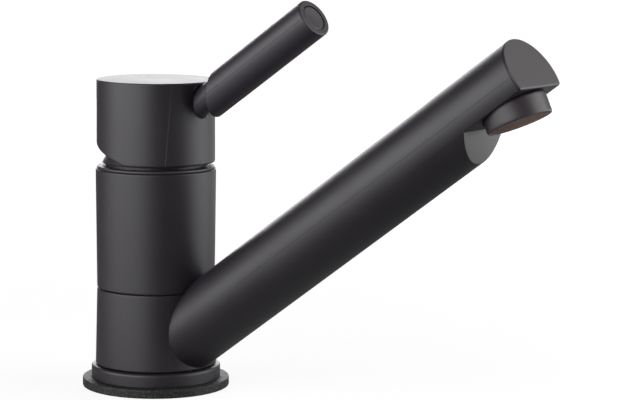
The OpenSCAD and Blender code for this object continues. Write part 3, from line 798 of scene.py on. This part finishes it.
def make_end_plate():
    """The plate that closes the tube, with a broad bevel on its chord edge."""
    start = SPOUT_LENGTH - END_PLATE

    def ring(inset, chord_inset, t):
        half = d_outline(SPOUT_R - inset, NOTCH_ROOF - chord_inset, CHORD_CORNER, CHORD_POINTS)
        return [(x, y, t) for x, y in whole_turn(half)]

    back_edge = 0.1 * MM
    round_by = 0.25 * MM
    bevel = 0.54 * MM
    bevel_depth = 0.54 * MM
    roundness = 0.4
    rings = [ring(back_edge, back_edge, start), ring(0, 0, start + back_edge)]
    for i in range(FILLET_STEPS + 1):
        # Between a straight bevel and a full rounding, to stay inside the part's own bevel
        angle = pi / 2 * i / FILLET_STEPS
        straight = i / FILLET_STEPS
        sunk = roundness * (1 - cos(angle)) + (1 - roundness) * straight
        below = roundness * (1 - sin(angle)) + (1 - roundness) * (1 - straight)
        rings.append(ring(round_by * sunk, bevel * sunk, SPOUT_LENGTH - bevel_depth * below))
    rings.append(ring(round_by + SUPPORT, bevel + SUPPORT, SPOUT_LENGTH))
    centre = -4 * MM
    columns = []
    for i in range(len(rings[0])):
        column = [r[i] for r in rings]
        columns.append([(centre, 0, start)] + column + [(centre, 0, SPOUT_LENGTH)])
    bm = loft(columns, SPOUT_FRAME)
    return piece("end_plate", bm, black_plastic, "spout", "black_plastic", "spout_end_cap")


def make_aerator():
    """The tilted barrel in the notch, with its threaded stub."""
    bevel = 0.2 * MM
    rim = 1.2 * MM
    stub_top = AERATOR_H + AERATOR_STUB
    stub_bore_r = AERATOR_THREAD_R - 2 * MM
    bm = lathe([
        (AERATOR_BORE_R, AERATOR_FLOOR, 0),
        (AERATOR_BORE_R, bevel, 0.05 * MM),
        (AERATOR_BORE_R + bevel, 0, 0.1 * MM),
        (AERATOR_R, 0, rim),
        (AERATOR_R, AERATOR_H, rim),
        (AERATOR_THREAD_R, AERATOR_H, 0),
        (AERATOR_THREAD_R, stub_top, 0.3 * MM),
        (stub_bore_r, stub_top, 0),
        (stub_bore_r, AERATOR_FLOOR, 0),
        (AERATOR_BORE_R, AERATOR_FLOOR, 0),
    ], JET_FRAME, 192)
    return piece("aerator_barrel", bm, black_plastic, "spout", "black_plastic", "aerator_housing")


def make_gauze():
    """Woven wires across the aerator's mouth."""
    pitch = 0.78 * MM
    wire_r = 0.19 * MM
    depth = 0.15 * MM
    wave_share = 0.55
    flatness = 0.5
    sides = 6
    per_cross = 4
    bm = bmesh.new()
    count = int(GAUZE_R / pitch)
    for way in (0, 1):
        for i in range(-count, count + 1):
            place = i * pitch
            half = sqrt(max(0, (GAUZE_R - wire_r) ** 2 - place ** 2))
            rings = max(2, int(2 * half / pitch * per_cross))
            before = None
            for k in range(rings + 1):
                along = -half + 2 * half * k / rings
                wave = cos(pi * along / pitch + pi * (i + way))
                height = GAUZE_RISE - depth + wire_r * wave_share * wave
                loop = []
                for s in range(sides):
                    angle = 2 * pi * s / sides
                    across = place + wire_r * cos(angle)
                    z = height + wire_r * flatness * sin(angle)
                    spot = (along, across, z) if way == 0 else (across, along, z)
                    loop.append(bm.verts.new(JET_FRAME @ Vector(spot)))
                if before:
                    for s in range(sides):
                        n = (s + 1) % sides
                        bm.faces.new((before[s], before[n], loop[n], loop[s]))
                else:
                    bm.faces.new(loop)
                before = loop
            bm.faces.new(list(reversed(before)))
    bmesh.ops.recalc_face_normals(bm, faces=bm.faces)
    return piece("woven_gauze", bm, gauze_metal, "spout", "gauze", "aerator_gauze")


def dress_cad_nodes():
    """Materials of the CAD nodes that show as they are."""
    finishes = {
        "brass": brass, "steel": steel, "ceramic": ceramic, "foam": foam, "gauze": gauze_metal,
        "seal_rubber": seal_rubber, "red_seal": red_seal, "matte_black": matte_black,
        "white_plastic": white_plastic, "grey_plastic": grey_plastic,
        "black_plastic": black_plastic,
    }
    for part in frame["record"]["subparts"]:
        node = frame["nodes"][part["node"]]
        node.data.materials.clear()
        node.data.materials.append(finishes[part["material_slot"]])


# Stage, light and camera

CAMERA_PLACE = Vector((0.5947, -0.7275, 0.2011))
CAMERA_AIM = Vector((0.0786, -0.0002, 0.0798))
CAMERA_UP = Vector((-0.0855, 0.1046, 0.9908))
SENSOR = 36.0
IMAGE_W = 640
FOCAL_PIXELS = 2424.85
BEHIND = (CAMERA_AIM - CAMERA_PLACE).normalized()
BEHIND_LEVEL = Vector((BEHIND.x, BEHIND.y, 0)).normalized()
BEYOND = Vector((0.535, 0.845, 0))
LAMPWARD = Vector((-0.574, -0.819, 0))
BACKDROP = (1.01, 1.0, 1.08, 1)
SECTOR_ORIGIN = (0.05, 0, 0)
FLOOR_GREY = (0.15, 0.15, 0.15, 1)
FLOOR_HALF = 6
FLOOR_DROP = 0.05 * MM
LAMP_AIM = Vector((0.03, 0, 0.08))

# Smooth ranges: where each starts and ends, then its levels there. FLOOR_BEYOND goes by metres
# along BEYOND, FLOOR_SECTOR and the world's ranges by a cosine, the rest by metres from the origin.
FLOOR_WHITE = (0.15, 1.1, 0.87, 1.02)
FLOOR_BEYOND = (0.1, 0.5, 0.03, 0.9)
FLOOR_SECTOR = (0.6, 0.92, 0.0, 1.0)
FLOOR_RISE = (0.03, 0.16, 0.0, 0.9)
FLOOR_CLOSE = (0.05, 0.16, 0.22, 0.1)
WORLD_LEVEL = (0.75, 0.97, 0.13, 0.9)
WORLD_GLOSS = (0.84, 0.97, 0.0, 1.0)

# Lamps: name, swing and climb in degrees, distance, width and height in metres, power in watts
LAMPS = (
    ("left_box", -55, 4, 0.9, 1.5, 1.1, 21.5),
    ("right_box", 83, 17, 0.9, 0.9, 1.0, 9.8),
    ("low_card", 104, -5, 0.38, 0.26, 0.1, 0.15),
    ("back_box", 180, 9, 1.2, 0.9, 0.5, 6.7),
)


def seen_white(nodes, links, glossy_share):
    """1 for camera and transmission rays, and a share for glossy rays."""
    paths = nodes.new("ShaderNodeLightPath").outputs
    direct = maths(nodes, links, "MAXIMUM", paths["Is Camera Ray"], paths["Is Transmission Ray"])
    glossy = maths(nodes, links, "MULTIPLY", paths["Is Glossy Ray"], glossy_share)
    return maths(nodes, links, "MAXIMUM", direct, glossy)


def make_floor():
    """The pale worktop: white to the camera, with the object's soft shadow.

    Glossy rays see it bright beyond the tap and towards the left lamp, and dim elsewhere.
    """
    bm = bmesh.new()
    bmesh.ops.create_grid(bm, x_segments=8, y_segments=8, size=FLOOR_HALF)
    floor = bare_object("floor", bm)
    floor.location.z = -FLOOR_DROP
    material, nodes, links, shader = new_material("floor_white")
    shader.inputs["Base Color"].default_value = FLOOR_GREY
    shader.inputs["Roughness"].default_value = 0.9
    shader.inputs["Specular IOR Level"].default_value = 0.0
    place = nodes.new("ShaderNodeTexCoord").outputs["Object"]
    length = nodes.new("ShaderNodeVectorMath")
    length.operation = "LENGTH"
    links.new(place, length.inputs[0])
    reach = length.outputs["Value"]
    far = smooth_map(nodes, links, reach, *FLOOR_WHITE)
    bright = smooth_map(nodes, links, along(nodes, links, place, BEYOND), *FLOOR_BEYOND)
    spot = from_origin(nodes, links, place, SECTOR_ORIGIN)
    toward = along(nodes, links, level_heading(nodes, links, spot), LAMPWARD)
    sector = smooth_map(nodes, links, toward, *FLOOR_SECTOR)
    rising = smooth_map(nodes, links, reach, *FLOOR_RISE)
    lamp_side = maths(nodes, links, "MULTIPLY", sector, rising)
    close = smooth_map(nodes, links, reach, *FLOOR_CLOSE)
    near_by = maths(nodes, links, "MAXIMUM", lamp_side, close)
    backness = maths(nodes, links, "MAXIMUM", bright, near_by)
    glow = nodes.new("ShaderNodeEmission")
    strength = maths(nodes, links, "MULTIPLY", far, seen_white(nodes, links, backness))
    links.new(strength, glow.inputs["Strength"])
    both = nodes.new("ShaderNodeAddShader")
    links.new(shader.outputs["BSDF"], both.inputs[0])
    links.new(glow.outputs["Emission"], both.inputs[1])
    links.new(both.outputs["Shader"], nodes["Material Output"].inputs["Surface"])
    floor.data.materials.append(material)


def make_camera():
    """The photograph's viewpoint: a long lens a little above the tap."""
    data = bpy.data.cameras.new("camera")
    data.sensor_width = SENSOR
    data.sensor_fit = "HORIZONTAL"
    data.lens = FOCAL_PIXELS * SENSOR / IMAGE_W
    data.clip_start = 0.05
    data.clip_end = 30
    camera = bpy.data.objects.new("camera", data)
    scene.collection.objects.link(camera)
    back = (CAMERA_PLACE - CAMERA_AIM).normalized()
    right = CAMERA_UP.cross(back).normalized()
    up = back.cross(right)
    turned = Matrix((right, up, back)).transposed().to_4x4()
    camera.matrix_world = Matrix.Translation(CAMERA_PLACE) @ turned
    scene.camera = camera


def soft_box(name, swing, climb, distance, width, height, power):
    """An area light aimed at the tap, by its swing from the camera's side and its climb."""
    toward = CAMERA_PLACE - LAMP_AIM
    heading = atan2(toward.y, toward.x) + radians(swing)
    climb = radians(climb)
    outward = Vector((cos(heading) * cos(climb), sin(heading) * cos(climb), sin(climb)))
    where = LAMP_AIM + distance * outward
    data = bpy.data.lights.new(name, "AREA")
    data.shape = "RECTANGLE"
    data.size = width
    data.size_y = height
    data.energy = power
    lamp = bpy.data.objects.new(name, data)
    lamp.location = where
    lamp.rotation_mode = "QUATERNION"
    lamp.rotation_quaternion = (where - LAMP_AIM).to_track_quat("Z", "Y")
    lamp.visible_camera = False
    scene.collection.objects.link(lamp)


def make_world():
    """White to the camera. To light and gloss, bright behind the tap and dim before it."""
    world = bpy.data.worlds.new("studio")
    scene.world = world
    world.use_nodes = True
    nodes = world.node_tree.nodes
    links = world.node_tree.links
    plain = nodes["Background"]
    plain.inputs["Color"].default_value = (1, 1, 1, 1)
    heading = nodes.new("ShaderNodeTexCoord").outputs["Generated"]
    facing = along(nodes, links, heading, BEHIND)
    level = smooth_map(nodes, links, facing, *WORLD_LEVEL)
    links.new(level, plain.inputs["Strength"])
    white = nodes.new("ShaderNodeBackground")
    white.inputs["Color"].default_value = BACKDROP
    straight = along(nodes, links, level_heading(nodes, links, heading), BEHIND_LEVEL)
    backness = smooth_map(nodes, links, straight, *WORLD_GLOSS)
    chosen = nodes.new("ShaderNodeMixShader")
    links.new(seen_white(nodes, links, backness), chosen.inputs["Fac"])
    links.new(plain.outputs["Background"], chosen.inputs[1])
    links.new(white.outputs["Background"], chosen.inputs[2])
    links.new(chosen.outputs["Shader"], nodes["World Output"].inputs["Surface"])


dress_cad_nodes()
make_gasket()
make_base_ring()
make_shell()
make_trim()
make_dome()
make_cap()
make_rod()
make_plug()
make_spout()
make_end_plate()
make_aerator()
make_gauze()
make_floor()
make_camera()
make_world()
for lamp_settings in LAMPS:
    soft_box(*lamp_settings)
scene.view_settings.view_transform = "Standard"
